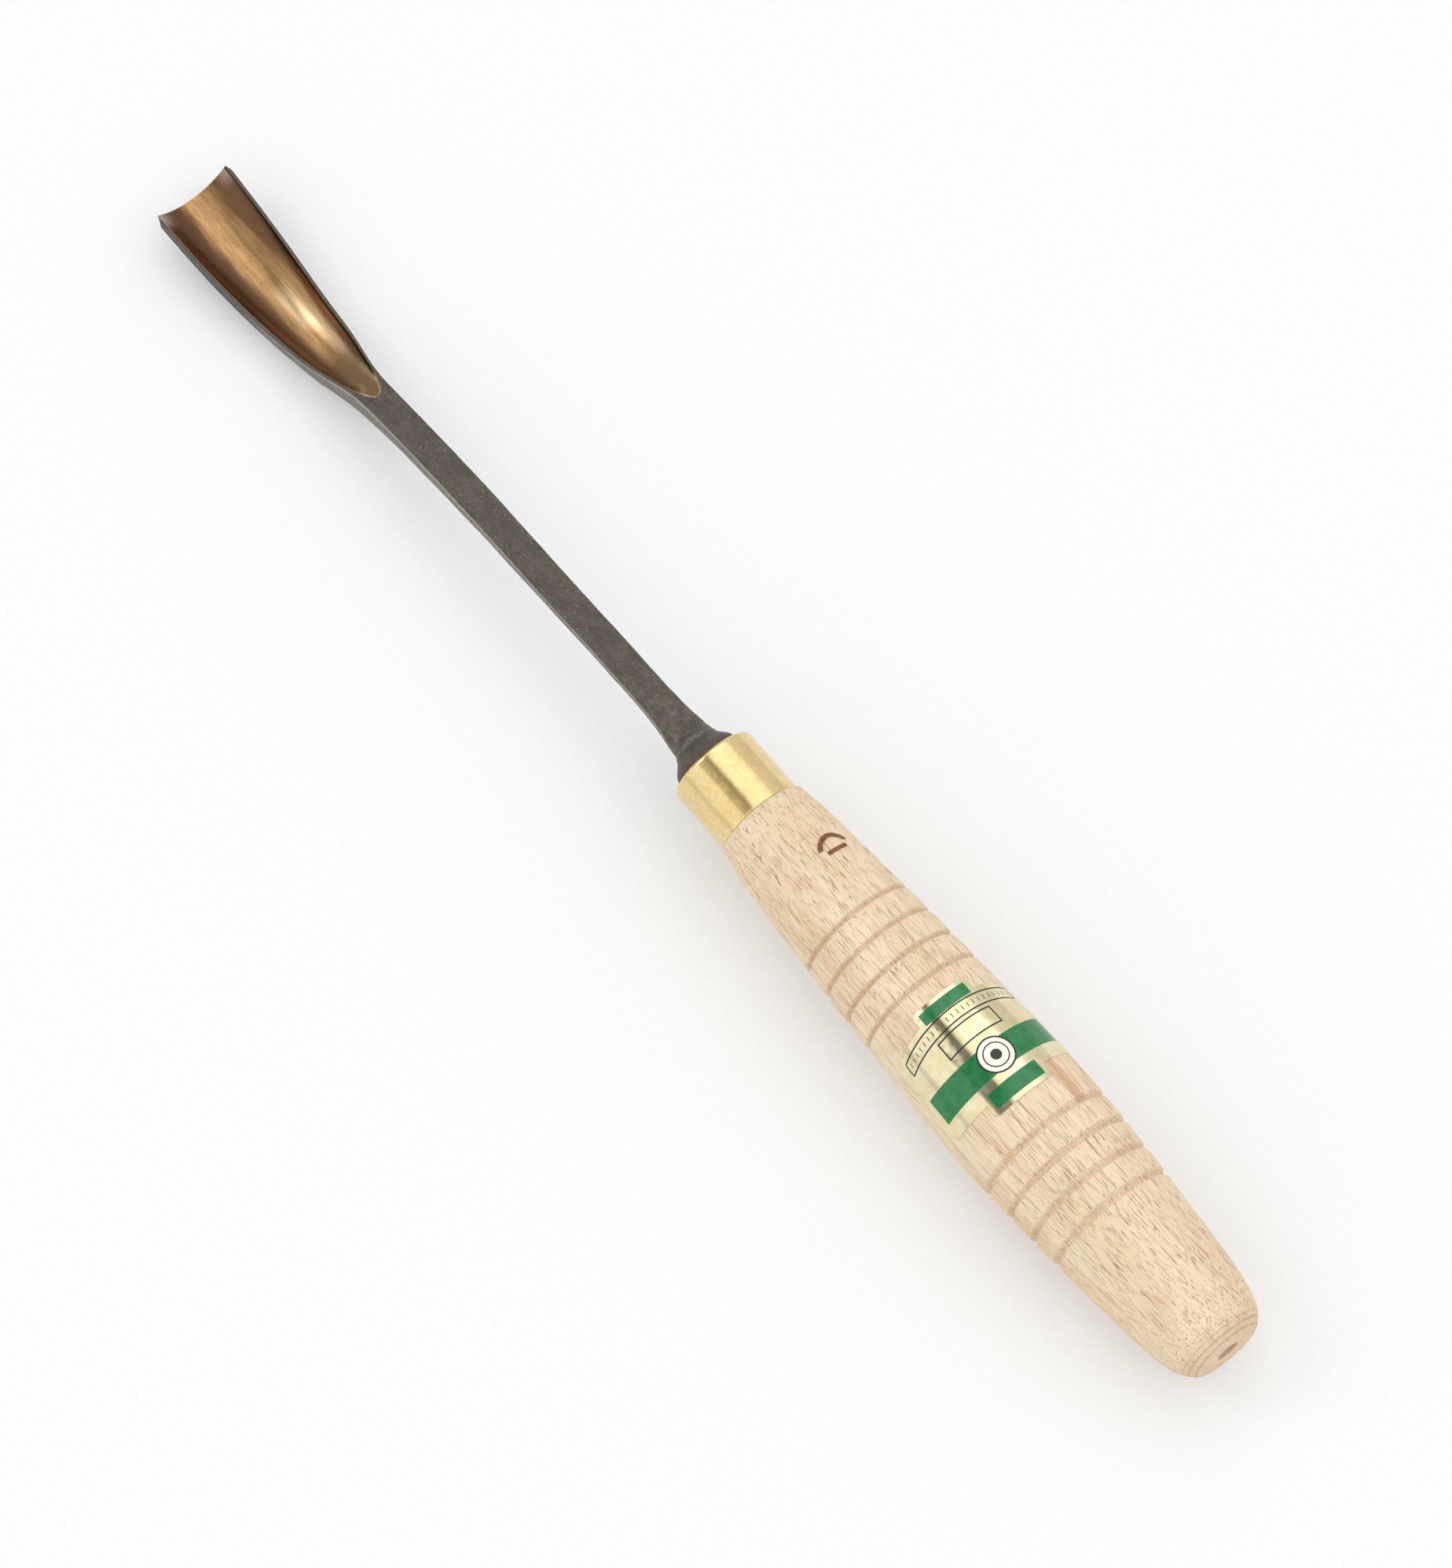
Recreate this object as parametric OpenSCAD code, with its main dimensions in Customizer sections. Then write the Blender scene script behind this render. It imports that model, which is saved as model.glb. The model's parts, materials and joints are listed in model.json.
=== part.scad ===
// Long-bent wood-carving gouge with a turned beech handle.
// Tool frame: X runs along the handle axis towards the cutting edge, X = 0 is the
// ferrule mouth, +Z is the open side of the flute. to_rest() then lays the finished
// tool on the bench, touching it at the handle's belly and the blade's belly.
// All sizes are millimetres.

/* [Handle] */
// Length of the handle from the ferrule mouth to the butt
handle_len = 129.7; // [120:0.1:134]
// Largest diameter of the handle
belly_d = 25; // [24:0.1:27]
// Diameter of the flat on the butt
butt_flat_d = 11.4; // [9:0.1:13]
// Length over which the butt is rounded
butt_round_len = 5.2; // [4:0.1:6]
// Diameter of the centre hole in the butt
butt_hole_d = 4; // [3:0.1:5]
// Depth of the centre hole in the butt
butt_hole_depth = 8; // [5:0.5:12]

/* [Grooves] */
// Distance between two neighbouring grip grooves
groove_pitch = 5.4; // [5:0.1:6]
// Width of one front V groove at the surface
front_groove_w = 1.2; // [0.8:0.1:1.6]
// Width of one rear V groove at the surface
rear_groove_w = 1.6; // [1:0.1:2]
// Depth of one V groove
groove_depth = 0.7; // [0.4:0.05:0.9]
// Number of grooves in each of the two groups
groove_count = 4; // [3:1:4]
// Distance of the front groove from the ferrule mouth
front_groove_at = 37.3; // [36:0.1:40]
// Distance of the first rear groove from the ferrule mouth
rear_groove_at = 84.8; // [83:0.1:86]

/* [Ferrule] */
// Outer diameter of the brass ferrule
ferrule_d = 16; // [15.6:0.1:16.4]
// Length of the brass ferrule
ferrule_len = 12.7; // [12:0.1:13]
// Wall thickness of the brass ferrule
ferrule_wall = 0.8; // [0.6:0.1:1]
// Radius of the rolled front lip
ferrule_lip_r = 0.6; // [0.3:0.05:0.6]

/* [Blade] */
// Distance that the blade projects from the ferrule
blade_len = 138.5; // [137:0.1:140]
// Diameter of the bolster where it meets the ferrule
bolster_d = 12.2; // [11.6:0.1:12.6]
// How far the hand-forged bolster sits to one side
bolster_lean = 0.3; // [0:0.05:0.5]
// Where the flute starts, measured from the ferrule
heel_at = 88; // [87:0.5:89]
// Length of the bevel ground on the outside of the edge
bevel_len = 3.7; // [2.5:0.1:5]
// Thickness left at the cutting edge
edge_t = 0.12; // [0.1:0.01:0.2]
// Length of the tang inside the handle
tang_len = 55; // [45:1:56]
// Width of the square tang at the bolster
tang_w = 5.6; // [5:0.1:5.6]
// Width of the square tang at its tip
tang_tip_w = 2.2; // [1.6:0.1:2.4]

/* [Label] */
// Distance from the ferrule mouth to the label's front edge
label_at = 57; // [56:1:58]
// Length of the label along the handle
label_len = 22; // [20:1:22]
// Angle that the main panel wraps around the handle
label_wrap = 140; // [120:1:150]
// Thickness of the foil label
label_t = 0.12; // [0.1:0.01:0.2]

/* [Hidden] */
$fn = 96;

// Handle outline: distance behind the ferrule mouth, share of the belly radius
handle_line = [
  [-125, 0.735], [-120, 0.800], [-112, 0.856], [-104, 0.904], [-96, 0.948], [-88, 0.983],
  [-79, 1.000], [-71, 0.988], [-63, 0.960], [-53, 0.915], [-42, 0.866], [-32, 0.816],
  [-24, 0.770], [-18, 0.728], [-15, 0.694], [-13.2, 0.668]
];
// Top face of the blade, and the rim of the pod: distance along the tool, height
top_line = [
  [0, 1], [0.8, 1], [1.8, 0.95], [2.6, 0.85], [3.4, 0.74], [3.9, 0.68], [4.6, 0.66],
  [5.1, 0.63], [5.7, 0.5], [6.5, 0.425], [9, 0.325], [12, 0.245], [16, 0.17], [27, 0.08], [41, -0.07],
  [55, -0.22], [68, -0.42], [76, -0.6], [82, -0.79], [88, -1.02], [94, -1.33], [101, -1.68],
  [109, -1.92], [118, -1.93], [127, -1.81], [139, -1.57]
];
// Underside of the blade: distance along the tool, height
under_line = [
  [0, -1], [0.8, -1], [1.8, -0.95], [2.6, -0.85], [3.4, -0.74], [3.9, -0.68], [4.8, -0.62],
  [6, -0.55], [7.5, -0.49], [9.5, -0.44], [12, -0.41], [16, -0.41], [27, -0.475], [41, -0.64],
  [55, -0.87], [68, -1.2], [76, -1.5], [82, -1.8], [88, -2.16], [94, -2.52], [101, -2.79],
  [109, -2.89], [118, -2.83], [127, -2.66], [139, -2.36]
];
// Half width of the blade: distance along the tool, width
width_line = [
  [0, 1], [0.8, 1], [1.8, 0.95], [2.6, 0.85], [3.4, 0.74], [3.9, 0.68], [4.7, 0.635],
  [6.8, 0.595], [9.5, 0.535], [12, 0.492], [14.5, 0.468], [18, 0.457], [60, 0.457], [82, 0.457],
  [88, 0.462], [91, 0.488], [94, 0.555], [101, 0.785], [109, 0.945], [118, 1.095], [127, 1.2],
  [139, 1.265]
];
// Height of the flat flank below the top corner: distance along the tool, height
flank_line = [
  [0, 0.01], [4, 0.02], [8, 0.5], [12, 1.0], [41, 1.7], [55, 2.1], [68, 2.7], [82, 3.0],
  [88, 3.3], [92, 3.0], [96, 2.6], [101, 2.3], [109, 2.4], [118, 2.4], [127, 2.2], [139, 1.8]
];
// Squareness of the section, 2 is round: distance along the tool, exponent
square_line = [[0, 2], [4, 2], [8, 2.8], [14, 3.6], [92, 3.6], [104, 2.4], [139, 2.2]];
// Share of the section above the top corner: distance along the tool, height
crown_line = [[14, 0.26], [88, 0.22], [100, 0.09], [139, 0.07]];
// Squareness of the top face's edges
top_square = 6;
// Half chord of the flute: distance along the tool, width
chord_line = [
  [heel_at + 6, 2.95], [101, 4.3], [109, 5.2], [118, 6.1], [127, 6.78], [139, 7.25]
];
// Depth of the flute: distance along the tool, depth
depth_line = [
  [heel_at, 0], [heel_at + 2.5, 0.62], [heel_at + 6, 1.9], [101, 3.4], [109, 3.75],
  [118, 3.7], [127, 3.5], [139, 3.3]
];

// Points in each of the two halves of a blade section, and in one land beside the flute
HALF = 28;
LAND = 4;
heel_spread = 1.2;
shank_spread = 0.6;
ring_step = 2;
bevel_at = blade_len - bevel_len;
// The bevel is this share of its full length at the two corners of the edge
corner_bevel = 0.3;

tenon_r = ferrule_d / 2 - ferrule_wall;
belly_r = belly_d / 2;
bolster_r = bolster_d / 2;
belly_at = -79;
pod_belly_at = 110;

// Stepped socket for the tang: start and end behind the mouth, radius
socket_steps = [[0, 15, 4.05], [15, 35, 3.4], [35, 57, 2.7]];
joint_overlap = 0.01;

// Smooth curve through a list of points, with slopes taken from the neighbours
function span(line, x, i = 0) = (i >= len(line) - 2 || x < line[i + 1][0]) ? i : span(line, x, i + 1);
function rise(a, b) = (b[1] - a[1]) / (b[0] - a[0]);
function slope(line, i) = rise(line[max(i - 1, 0)], line[min(i + 1, len(line) - 1)]);
function blend(line, i, u) =
  let (h = line[i + 1][0] - line[i][0], u2 = u * u, u3 = u2 * u)
  line[i][1] * (2 * u3 - 3 * u2 + 1) + slope(line, i) * h * (u3 - 2 * u2 + u)
  + line[i + 1][1] * (3 * u2 - 2 * u3) + slope(line, i + 1) * h * (u3 - u2);
function curve(line, x) =
  let (i = span(line, x), u = (x - line[i][0]) / (line[i + 1][0] - line[i][0]))
  blend(line, i, min(max(u, 0), 1));

// Superellipse quarter: height at share s of the half width
function arch(s, n) = pow(max(1 - pow(min(abs(s), 1), n), 0), 1 / n);

// Handle radius, with the rounded butt, before the grooves are cut
function butt_r(x) =
  let (r1 = belly_r * handle_line[0][1], u = (-handle_len + butt_round_len - x) / butt_round_len)
  butt_flat_d / 2 + (r1 - butt_flat_d / 2) * arch(u, 1.5);
function handle_r(x) = x < -handle_len + butt_round_len
  ? butt_r(x)
  : belly_r * curve(handle_line, x);
function groove_places(at) = [for (i = [0 : groove_count - 1]) -at - (groove_count - 1 - i) * groove_pitch];
function groove_points(x, w) = [
  [x - w / 2, handle_r(x - w / 2)],
  [x, handle_r(x) - groove_depth],
  [x + w / 2, handle_r(x + w / 2)]
];
// Whole millimetres between two places, which the label shares with the handle
function smooth_points(a, b) = [for (x = [ceil(a + 0.2) : 1 : floor(b - 0.2)]) [x, handle_r(x)]];
function grip_points(places, w) = [
  for (i = [0 : len(places) - 1]) each concat(
    groove_points(places[i], w),
    i < len(places) - 1 ? smooth_points(places[i] + w / 2, places[i + 1] - w / 2) : []
  )
];

// Blade section at x: [half width, top corner, crown, flank foot, belly, exponent]
function top_z(x) = bolster_r * curve(top_line, x);
function under_z(x) = bolster_r * curve(under_line, x);
function crown(x) = x < 14
  ? (top_z(x) - under_z(x)) / 2 + (0.26 - (top_z(14) - under_z(14)) / 2) * pow(x / 14, 2)
  : curve(crown_line, x);
function half_w(x) = bolster_r * curve(width_line, x);
function half_chord(x) = x < heel_at
  ? shank_spread * half_w(x)
  : x < heel_at + 6 ? heel_spread * sqrt(x - heel_at + 0.02) : curve(chord_line, x);
function flute_depth(x) = x < heel_at ? 0 : max(curve(depth_line, x), 0.002);

// Height of the plain top surface at y, and of the flute below it
function skin_z(x, y) =
  top_z(x) - crown(x) + crown(x) * arch(y / half_w(x), x < 14 ? curve(square_line, x) : top_power(x));
function top_power(x) = 3.6 + (top_square - 3.6) * min((x - 14) / 6, 1);
function arc_r(c, h) = (c * c + h * h) / (2 * h);
function flute_z(x, y, c, h) =
  skin_z(x, c) - sqrt(pow(arc_r(c, h), 2) - y * y) + arc_r(c, h) - h;
// Upper half of the section, from the right corner to the left: two lands and the flute
function upper_y(x, k) =
  let (w = half_w(x), c = half_chord(x), arcs = HALF - 2 * LAND)
  k < LAND ? c + (w - c) * cos(90 * k / LAND)
  : k > HALF - LAND ? -c - (w - c) * cos(90 * (HALF - k) / LAND)
  : c * cos(180 * (k - LAND) / arcs);
function upper(x, k) =
  let (y = upper_y(x, k), c = half_chord(x), h = flute_depth(x))
  [y, h > 0 && abs(y) <= c + 0.0001 ? flute_z(x, y, c, h) : skin_z(x, y)];
// Lower half of the section, from the right corner to the left
function lower(x, k) =
  let (
    w = half_w(x), n = curve(square_line, x), a = 180 * k / HALF, corner = top_z(x) - crown(x),
    foot = max(corner - curve(flank_line, x), under_z(x) + 0.5), c = cos(a), s = sin(a)
  )
  k == 0 ? [w, corner] : k == HALF ? [-w, corner]
  : [w * sign(c) * pow(abs(c), 2 / n), foot - (foot - under_z(x)) * pow(s, 2 / n)];
// The outer surface closes on the flute over the bevel
function edge_point(x, k) =
  let (c = half_chord(x), h = flute_depth(x), y = c * cos(180 * k / HALF))
  [y, flute_z(x, y, c, h) - edge_t];
function bevel_reach(k) = bevel_len * (corner_bevel + (1 - corner_bevel) * sin(180 * k / HALF));
function bevel_share(x, k) = min(max((x - blade_len) / bevel_reach(k) + 1, 0), 1);
function ring(x) = concat(
  [for (k = [0 : HALF])
    let (u = bevel_share(x, k))
    u > 0 ? lower(x, k) * (1 - u) + edge_point(x, k) * u : lower(x, k)],
  [for (k = [HALF - 1 : -1 : 1])
    let (u = bevel_share(x, 0))
    u > 0 && (k < LAND || k > HALF - LAND)
      ? upper(x, k) * (1 - u) + [sign(upper(x, k)[0]) * half_chord(x), skin_z(x, half_chord(x))] * u
      : upper(x, k)]
);
// Square tang section of half width a
function tang_ring(a) = [
  for (k = [0 : 2 * HALF - 1])
    let (t = -180 * k / HALF, c = cos(t), s = sin(t))
    [a * sign(c) * pow(abs(c), 0.25), a * sign(s) * pow(abs(s), 0.25)]
];

ring_x = concat(
  [0, 0.3, 0.6, 1, 1.4, 1.8, 2.2, 2.6, 3.1, 3.5, 3.9, 4.3, 4.8, 5.2, 5.6, 6, 6.6, 7.5],
  [9, 11, 13, 15],
  [for (x = [18 : 5 : 68]) x],
  [for (x = [70 : ring_step : heel_at - 1]) x],
  [heel_at - 0.01, heel_at, heel_at + 0.15, heel_at + 0.4, heel_at + 0.8],
  [for (x = [heel_at + 1.4 : ring_step / 2 : 104]) x],
  [for (x = [106 : ring_step : bevel_at - 1]) x],
  [for (u = [0 : 0.125 : 1]) bevel_at + bevel_len * u]
);
function lean(x) = bolster_lean * pow(max(1 - x / 9, 0), 2);
function place(x, pts) = [for (p = pts) [x, p[0] + (x < 0 ? 0 : lean(x)), p[1]]];
blade_points = concat(
  place(-tang_len, tang_ring(tang_tip_w / 2)),
  place(0, tang_ring(tang_w / 2)),
  [for (x = ring_x) each place(x, ring(x))]
);
SIDES = 2 * HALF;
RINGS = len(ring_x) + 2;
// Rings are closed with strips between their lower and upper halves
function cap(r, flip) = [
  for (k = [0 : HALF - 1])
    let (a = r + k, b = r + k + 1, d = r + (SIDES - k) % SIDES, e = r + SIDES - k - 1)
    let (quad = k == 0 ? [a, b, e] : k == HALF - 1 ? [a, b, d] : [a, b, e, d])
    flip ? [for (i = [len(quad) - 1 : -1 : 0]) quad[i]] : quad
];
function side(r, k) =
  let (a = r * SIDES + k, b = r * SIDES + (k + 1) % SIDES)
  [[a, b, b + SIDES], [a, b + SIDES, a + SIDES]];
blade_faces = concat(
  cap(0, true),
  [for (r = [0 : RINGS - 2]) for (k = [0 : SIDES - 1]) each side(r, k)],
  cap((RINGS - 1) * SIDES, false)
);

// Handle half outline, from the butt to the tenon, as [x, radius]
front_grooves = groove_places(front_groove_at);
rear_grooves = groove_places(rear_groove_at);
last_groove = groove_count - 1;
handle_profile = concat(
  [for (i = [0 : 9]) let (x = -handle_len + butt_round_len * (1 - cos(9 * i))) [x, handle_r(x)]],
  smooth_points(-handle_len + butt_round_len - 0.2, rear_grooves[0] - rear_groove_w / 2),
  grip_points(rear_grooves, rear_groove_w),
  smooth_points(rear_grooves[last_groove] + rear_groove_w / 2, front_grooves[0] - front_groove_w / 2),
  grip_points(front_grooves, front_groove_w),
  smooth_points(front_grooves[last_groove] + front_groove_w / 2, -15),
  [[-14.2, handle_r(-14.2)], [-13.4, handle_r(-13.4)], [-12.95, 8.28], [-ferrule_len, 8.05]],
  [[-ferrule_len, tenon_r], [0, tenon_r]]
);

// Resting pose: tilt about Y, and the shift that puts the box's base centre at the origin
tilt = atan((-under_z(pod_belly_at) - belly_r) / (pod_belly_at - belly_at));
function rest_x(x, z) = x * cos(tilt) - z * sin(tilt);
function rest_z(x, z) = x * sin(tilt) + z * cos(tilt);
blade_low = [for (p = blade_points) rest_z(p[0], p[2])];
blade_far = [for (p = blade_points) rest_x(p[0], p[2])];
handle_low = [for (p = handle_profile) rest_z(p[0], -p[1])];
handle_near = [for (p = handle_profile) rest_x(p[0], p[1])];
floor_z = min(min(blade_low), min(handle_low));
centre_x = (max(blade_far) + min(handle_near)) / 2;
module to_rest() {
  translate([-centre_x, 0, -floor_z]) rotate([0, -tilt, 0]) children();
}

// Turns an [x, radius] outline about the tool's X axis
module turned(outline, wrap = 360) {
  rotate([0, 90, 0])
    rotate([0, 0, 180 - wrap / 2])
      rotate_extrude(angle = wrap)
        polygon([for (p = outline) [p[1], p[0]]]);
}

// A round hole along the tool axis, from x1 to x2
module axial_hole(x1, x2, r) {
  translate([x1, 0, 0]) rotate([0, 90, 0]) cylinder(h = x2 - x1, r = r);
}

module handle() {
  color("burlywood") to_rest() difference() {
    turned(concat([[-handle_len, 0]], handle_profile, [[0, 0]]));
    axial_hole(-handle_len - 1, -handle_len + butt_hole_depth, butt_hole_d / 2);
    for (s = socket_steps)
      axial_hole(-s[1], -s[0] + (s[0] == 0 ? 1 : joint_overlap), s[2]);
  }
}

module ferrule() {
  lip = [for (a = [0 : 15 : 90])
    [-ferrule_lip_r + ferrule_lip_r * sin(a), ferrule_d / 2 - ferrule_lip_r + ferrule_lip_r * cos(a)]];
  outline = concat(
    [[-ferrule_len, tenon_r], [-ferrule_len, ferrule_d / 2 - 0.1], [-ferrule_len + 0.1, ferrule_d / 2]],
    lip,
    [[0, tenon_r]]
  );
  color("goldenrod") to_rest() turned(outline);
}

module blade() {
  color("dimgray") to_rest() polyhedron(points = blade_points, faces = blade_faces, convexity = 6);
}

// A curved patch of foil that follows the handle between two whole millimetres
module foil(x1, x2, wrap) {
  outer = [for (x = [x1 : 1 : x2]) [x, handle_r(x) + label_t]];
  inner = [for (x = [x2 : -1 : x1]) [x, handle_r(x)]];
  turned(concat(outer, inner), wrap);
}

module label() {
  color("darkseagreen") to_rest() foil(-label_at - label_len, -label_at, label_wrap);
}

handle();
ferrule();
blade();
label();
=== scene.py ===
"""Long-bent carving gouge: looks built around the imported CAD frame.

Shapes are worked out in the tool's own frame, in millimetres: x runs along the handle's axis to
the cutting edge with 0 at the ferrule's mouth, and z points out of the open side of the flute.
place() then lays them in the row's frame, in metres.
"""
import json
import math

import bpy
import numpy as np
from mathutils import Matrix, Vector, noise


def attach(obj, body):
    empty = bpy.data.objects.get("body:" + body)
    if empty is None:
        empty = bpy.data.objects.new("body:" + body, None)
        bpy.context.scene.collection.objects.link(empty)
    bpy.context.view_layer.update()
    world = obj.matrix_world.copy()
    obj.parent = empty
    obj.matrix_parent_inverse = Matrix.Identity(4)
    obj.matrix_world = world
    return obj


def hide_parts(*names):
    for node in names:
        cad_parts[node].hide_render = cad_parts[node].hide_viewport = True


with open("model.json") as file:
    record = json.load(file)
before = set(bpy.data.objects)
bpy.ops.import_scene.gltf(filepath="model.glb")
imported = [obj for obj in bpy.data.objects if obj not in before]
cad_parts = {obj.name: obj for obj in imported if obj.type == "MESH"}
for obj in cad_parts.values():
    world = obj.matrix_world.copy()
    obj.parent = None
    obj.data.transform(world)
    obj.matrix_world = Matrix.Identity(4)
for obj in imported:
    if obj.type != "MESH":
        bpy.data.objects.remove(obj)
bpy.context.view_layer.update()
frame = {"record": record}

MM = 0.001
TAU = 2 * math.pi

# ---------------------------------------------------------------- driving sizes, millimetres
HANDLE_LEN = 129.7
BELLY_R = 12.5
BUTT_FLAT_R = 5.7
BUTT_ROUND = 5.2
HOLE_R = 2.0
HOLE_DEPTH = 8.0
FERRULE_R = 8.0
FERRULE_LEN = 12.7
TENON_R = 7.2
LIP_R = 0.6
GROOVE_PITCH = 5.4
FRONT_GROOVE = -37.3
REAR_GROOVE = -84.8
GROOVE_DEPTH = 0.7
GROOVE_HARD = 14
BLADE_LEN = 138.5
BOLSTER_R = 6.1
BOLSTER_LEAN = 0.3
LEAN_LEN = 9
HEEL = 88.0
HEEL_LEN = 6
HEEL_SPREAD = 1.2
BEVEL_LEN = 3.7
CORNER_BEVEL = 0.3
EDGE_T = 0.12
TANG_LEN = 55.0
LABEL_FROM = -79.0
LABEL_TO = -57.0
LABEL_T = 0.12
LABEL_GAP = 0.012
LABEL_R = 12.3
LABEL_PRINT_R = 12.2
LABEL_FRONT_R = 11.8
PANEL_FROM = -76.4
PANEL_HALF = math.radians(70)
PANEL_CORNER = 0.8
TAB_HALF = math.radians(28)
TAB_CORNER = 1.0
BOW_FROM = -61.2
BOW_DEEP = 2.2

# How deep each drill goes into the handle for the tang, and the radius it leaves
SOCKET = [(15.0, 4.05), (35.0, 3.4), (57.0, 2.7)]

# Burned mark: its place, the handle's radius there, then its arc and its bar
BURN_X = -24.4
BURN_ANGLE = math.radians(-26)
BURN_R = 9.9
ARC_BACK = 2.6
ARC_R = 3.1
BAR_AT = -2.35
BAR_HALF = 1.75

# Outlines, the same points as in the CAD source: (place along the tool, share or size)
HANDLE_LINE = [
    (-125, 0.735), (-120, 0.800), (-112, 0.856), (-104, 0.904), (-96, 0.948), (-88, 0.983),
    (-79, 1.000), (-71, 0.988), (-63, 0.960), (-53, 0.915), (-42, 0.866), (-32, 0.816),
    (-24, 0.770), (-18, 0.728), (-15, 0.694), (-13.2, 0.668)]
TOP_LINE = [
    (0, 1), (0.8, 1), (1.8, 0.95), (2.6, 0.85), (3.4, 0.74), (3.9, 0.68), (4.6, 0.66),
    (5.1, 0.63), (5.7, 0.5), (6.5, 0.425), (9, 0.325), (12, 0.245), (16, 0.17), (27, 0.08),
    (41, -0.07), (55, -0.22), (68, -0.42), (76, -0.6), (82, -0.79), (88, -1.02), (94, -1.33),
    (101, -1.68), (109, -1.92), (118, -1.93), (127, -1.81), (139, -1.57)]
UNDER_LINE = [
    (0, -1), (0.8, -1), (1.8, -0.95), (2.6, -0.85), (3.4, -0.74), (3.9, -0.68), (4.8, -0.62),
    (6, -0.55), (7.5, -0.49), (9.5, -0.44), (12, -0.41), (16, -0.41), (27, -0.475), (41, -0.64),
    (55, -0.87), (68, -1.2), (76, -1.5), (82, -1.8), (88, -2.16), (94, -2.52), (101, -2.79),
    (109, -2.89), (118, -2.83), (127, -2.66), (139, -2.36)]
WIDTH_LINE = [
    (0, 1), (0.8, 1), (1.8, 0.95), (2.6, 0.85), (3.4, 0.74), (3.9, 0.68), (4.7, 0.635),
    (6.8, 0.595), (9.5, 0.535), (12, 0.492), (14.5, 0.468), (18, 0.457), (60, 0.457), (82, 0.457),
    (88, 0.462), (91, 0.488), (94, 0.555), (101, 0.785), (109, 0.945), (118, 1.095), (127, 1.2),
    (139, 1.265)]
FLANK_LINE = [
    (0, 0.01), (4, 0.02), (8, 0.5), (12, 1.0), (41, 1.7), (55, 2.1), (68, 2.7), (82, 3.0),
    (88, 3.3), (92, 3.0), (96, 2.6), (101, 2.3), (109, 2.4), (118, 2.4), (127, 2.2), (139, 1.8)]
SHANK_FROM = 14
SHANK_CROWN = 0.26
SHANK_SQUARE = 3.6
TOP_SQUARE = 6
TOP_SQUARE_LEN = 6
SQUARE_LINE = [
    (0, 2), (4, 2), (8, 2.8), (SHANK_FROM, SHANK_SQUARE), (92, SHANK_SQUARE), (104, 2.4), (139, 2.2)]
CROWN_LINE = [(SHANK_FROM, SHANK_CROWN), (88, 0.22), (100, 0.09), (139, 0.07)]
CHORD_LINE = [(HEEL + HEEL_LEN, 2.95), (101, 4.3), (109, 5.2), (118, 6.1), (127, 6.78), (139, 7.25)]
DEPTH_LINE = [
    (HEEL, 0), (HEEL + 2.5, 0.62), (HEEL + HEEL_LEN, 1.9), (101, 3.4), (109, 3.75), (118, 3.7),
    (127, 3.5), (139, 3.3)]

# ---------------------------------------------------------------- the tool's frame in the row
mounts = {m["name"]: m for m in frame["record"]["mounts"]}
butt_hole = mounts["butt_centre_hole"]
ALONG = -Vector(butt_hole["axis"]).normalized()
ACROSS = Vector((0, 1, 0))
UP = ALONG.cross(ACROSS).normalized()
MOUTH = Vector(butt_hole["pos_m"]) + ALONG * (HANDLE_LEN - HOLE_DEPTH / 2) * MM


def place(points):
    """Tool-frame millimetres to row-frame metres."""
    p = np.asarray(points, float) * MM
    axes = np.array([ALONG, ACROSS, UP], float)
    return p @ axes + np.array(MOUTH, float)


# ---------------------------------------------------------------- curves and noise
def curve(line, x):
    """Smooth curve through a list of points, with slopes taken from the neighbours."""
    t = np.array([p[0] for p in line], float)
    v = np.array([p[1] for p in line], float)
    last = len(t) - 1
    low = np.maximum(np.arange(last + 1) - 1, 0)
    high = np.minimum(np.arange(last + 1) + 1, last)
    slope = (v[high] - v[low]) / (t[high] - t[low])
    x = np.asarray(x, float)
    i = np.clip(np.searchsorted(t, x, side="right") - 1, 0, last - 1)
    h = t[i + 1] - t[i]
    u = np.clip((x - t[i]) / h, 0, 1)
    a = v[i] * (2 * u**3 - 3 * u**2 + 1) + slope[i] * h * (u**3 - 2 * u**2 + u)
    return a + v[i + 1] * (3 * u**2 - 2 * u**3) + slope[i + 1] * h * (u**3 - u**2)


def arch(s, n):
    """Superellipse quarter: height at share s of the half width."""
    return np.maximum(1 - np.minimum(np.abs(s), 1) ** n, 0) ** (1 / n)


def rough(points, size, octaves=2, shift=0.0):
    """Repeatable noise at each point, about -1 to 1, with features of the given size in mm."""
    out = np.empty(len(points))
    for i, p in enumerate(points):
        v = Vector((p[0] / size + shift, p[1] / size, p[2] / size))
        out[i] = noise.fractal(v, 0.9, 2.1, octaves)
    return out


# ---------------------------------------------------------------- mesh helpers
def make_piece(name, points, faces, materials, face_slots=None, sharp=35.0, marks=None):
    """A mesh piece in the row frame. Its tool-frame place is kept for the materials."""
    points = np.asarray(points, float)
    mesh = bpy.data.meshes.new(name)
    mesh.from_pydata(place(points).tolist(), [], faces)
    for m in materials:
        mesh.materials.append(m)
    if face_slots is not None:
        mesh.polygons.foreach_set("material_index", np.asarray(face_slots, np.int32))
    mesh.shade_smooth()
    mesh.set_sharp_from_angle(angle=math.radians(sharp))
    spot = mesh.attributes.new("tool", "FLOAT_VECTOR", "POINT")
    spot.data.foreach_set("vector", points.astype(np.float32).ravel())
    for key, values in (marks or {}).items():
        layer = mesh.attributes.new(key, "FLOAT", "POINT")
        layer.data.foreach_set("value", np.asarray(values, np.float32))
    mesh.validate()
    mesh.update()
    obj = bpy.data.objects.new(name, mesh)
    bpy.context.scene.collection.objects.link(obj)
    return obj


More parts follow.
